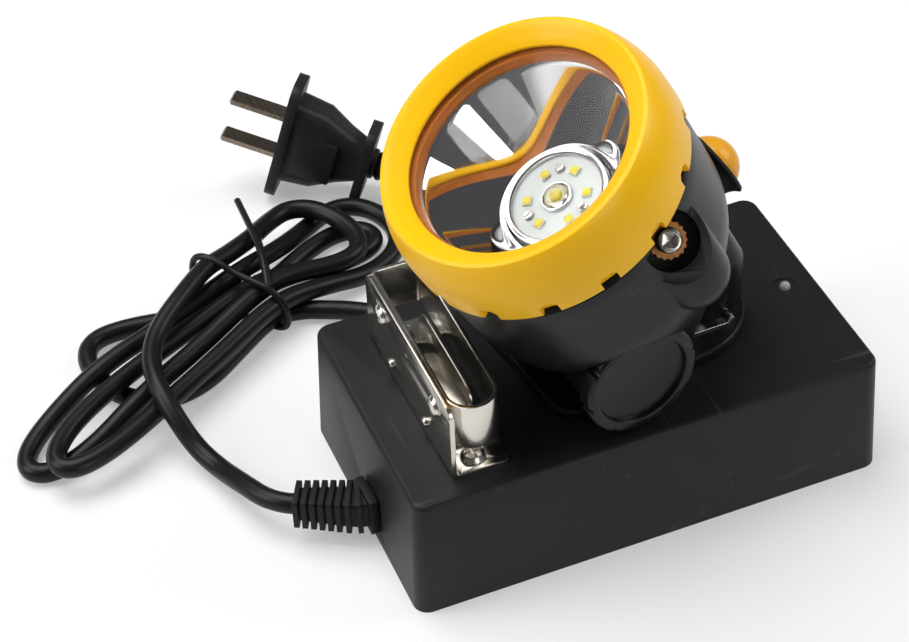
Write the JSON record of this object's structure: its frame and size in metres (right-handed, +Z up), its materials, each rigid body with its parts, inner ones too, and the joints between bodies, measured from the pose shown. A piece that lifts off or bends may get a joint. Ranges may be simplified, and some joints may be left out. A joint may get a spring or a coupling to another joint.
{
  "type": "miner's cap lamp on its charger",
  "caption": "cordless miner's cap lamp with a screwed yellow bezel, standing on a black mains charger with a steel hook clip, tied mains lead and two-pin plug",
  "frame": {"origin": "centre of the charger's footprint, on the surface it stands on", "axes": "+X along the charger's length away from the clip, +Y away from the lamp's battery cap, +Z up"},
  "size_m": [0.2105, 0.1897, 0.1311],
  "materials": {
    "charger_plastic": "fine moulded grain",
    "nickel_steel": "nickel plated, lightly scuffed",
    "boot_rubber": "matt",
    "cord_jacket": "soft sheen",
    "tie_wire": "coated wire",
    "plug_plastic": "satin",
    "plug_brass": "dulled",
    "lamp_plastic": "satin moulding",
    "bezel_yellow": "glossy",
    "clear_lens": "clear",
    "gasket_orange": "matt",
    "mirror": "vacuum metallised",
    "white_board": "white solder resist",
    "chrome_ring": "polished",
    "led_phosphor": "phosphor under clear dome",
    "steel_screws": "plated",
    "alloy": "turned",
    "green_board": "solder resist",
    "ferrite": "laminated core",
    "winding": "enamelled wire under tape",
    "dark_parts": "moulded cases",
    "copper": "copper washer",
    "cell_sleeve": "shrink sleeve",
    "button_yellow": "soft button",
    "led_clear": "tinted dome"
  },
  "bodies": {
    "charger": {"charger_housing": "charger_plastic", "charger_base": "charger_plastic", "base_screws": "steel_screws", "rubber_feet": "boot_rubber", "circuit_board": "green_board", "transformer_core": "ferrite", "transformer_coil": "winding", "transformer_bobbin": "dark_parts", "capacitors": "dark_parts", "heat_sink": "alloy", "power_transistor": "dark_parts", "indicator_led": "led_clear", "indicator_spacer": "dark_parts", "hook_holder": "nickel_steel", "holder_loop": "nickel_steel", "leaf_foot": "nickel_steel", "holder_rivets": "nickel_steel", "foot_screws": "steel_screws", "cord_boot": "boot_rubber", "cord_lead": "cord_jacket", "cord_hank": "cord_jacket", "cord_tail": "cord_jacket", "twist_tie": "tie_wire", "plug_body": "plug_plastic", "plug_blades": "plug_brass"},
    "leaf": {"contact_leaf": "nickel_steel"},
    "lamp": {"lamp_housing": "lamp_plastic", "back_cover": "lamp_plastic", "hook_plate": "lamp_plastic", "hook_strip": "nickel_steel", "plate_screws": "steel_screws", "reflector": "mirror", "led_board": "white_board", "led_ring": "chrome_ring", "main_led": "led_phosphor", "side_leds": "led_phosphor", "board_screws": "steel_screws", "heat_spreader": "alloy", "driver_board": "green_board", "driver_parts": "dark_parts", "battery_cell": "cell_sleeve", "cell_contact": "plug_brass", "switch_collar": "boot_rubber", "switch_spring": "steel_screws", "tact_switch": "dark_parts", "contact_washer": "copper", "contact_screw": "steel_screws"},
    "lens_pack": {"lens": "clear_lens", "lens_gasket": "gasket_orange"},
    "bezel_ring": {"bezel": "bezel_yellow"},
    "cap_slide": {"cap_seal": "boot_rubber", "cell_spring": "nickel_steel"},
    "cap_ring": {"battery_cap": "lamp_plastic"},
    "button": {"switch_button": "button_yellow"}
  },
  "joints": [
    {"name": "lamp_lift", "type": "slide", "parent": "charger", "child": "lamp", "axis": [0, 0, 1], "range_m": [0, 0.06]},
    {"name": "leaf_flex", "type": "hinge", "parent": "charger", "child": "leaf", "pos_m": [-0.0423, -0.0045, 0.0375], "axis": [0, 1, 0], "range_deg": [0, 4], "stiffness_Nm_per_rad": 0.05},
    {"name": "bezel_travel", "type": "slide", "parent": "lamp", "child": "lens_pack", "axis": [-0.468, -0.0658, 0.8813], "range_m": [0, 0.0041]},
    {"name": "bezel_turn", "type": "hinge", "parent": "lens_pack", "child": "bezel_ring", "pos_m": [-0.01904, -0.00453, 0.1065], "axis": [-0.468, -0.0658, 0.8813], "range_deg": [0, 720]},
    {"name": "cap_travel", "type": "slide", "parent": "lamp", "child": "cap_slide", "axis": [0.1392, -0.9903, 0], "range_m": [0, 0.0041]},
    {"name": "cap_turn", "type": "hinge", "parent": "cap_slide", "child": "cap_ring", "pos_m": [-0.00196, -0.03057, 0.0523], "axis": [0.1392, -0.9903, 0], "range_deg": [0, 720]},
    {"name": "button_press", "type": "slide", "parent": "lamp", "child": "button", "axis": [-0.8727, -0.1227, -0.4726], "range_m": [0, 0.0015], "stiffness_N_per_m": 600}
  ],
  "couplings": [
    {"joint": "bezel_travel", "follows": "bezel_turn", "m_per_rad": 0.00031831},
    {"joint": "cap_travel", "follows": "cap_turn", "m_per_rad": 0.00031831}
  ]
}
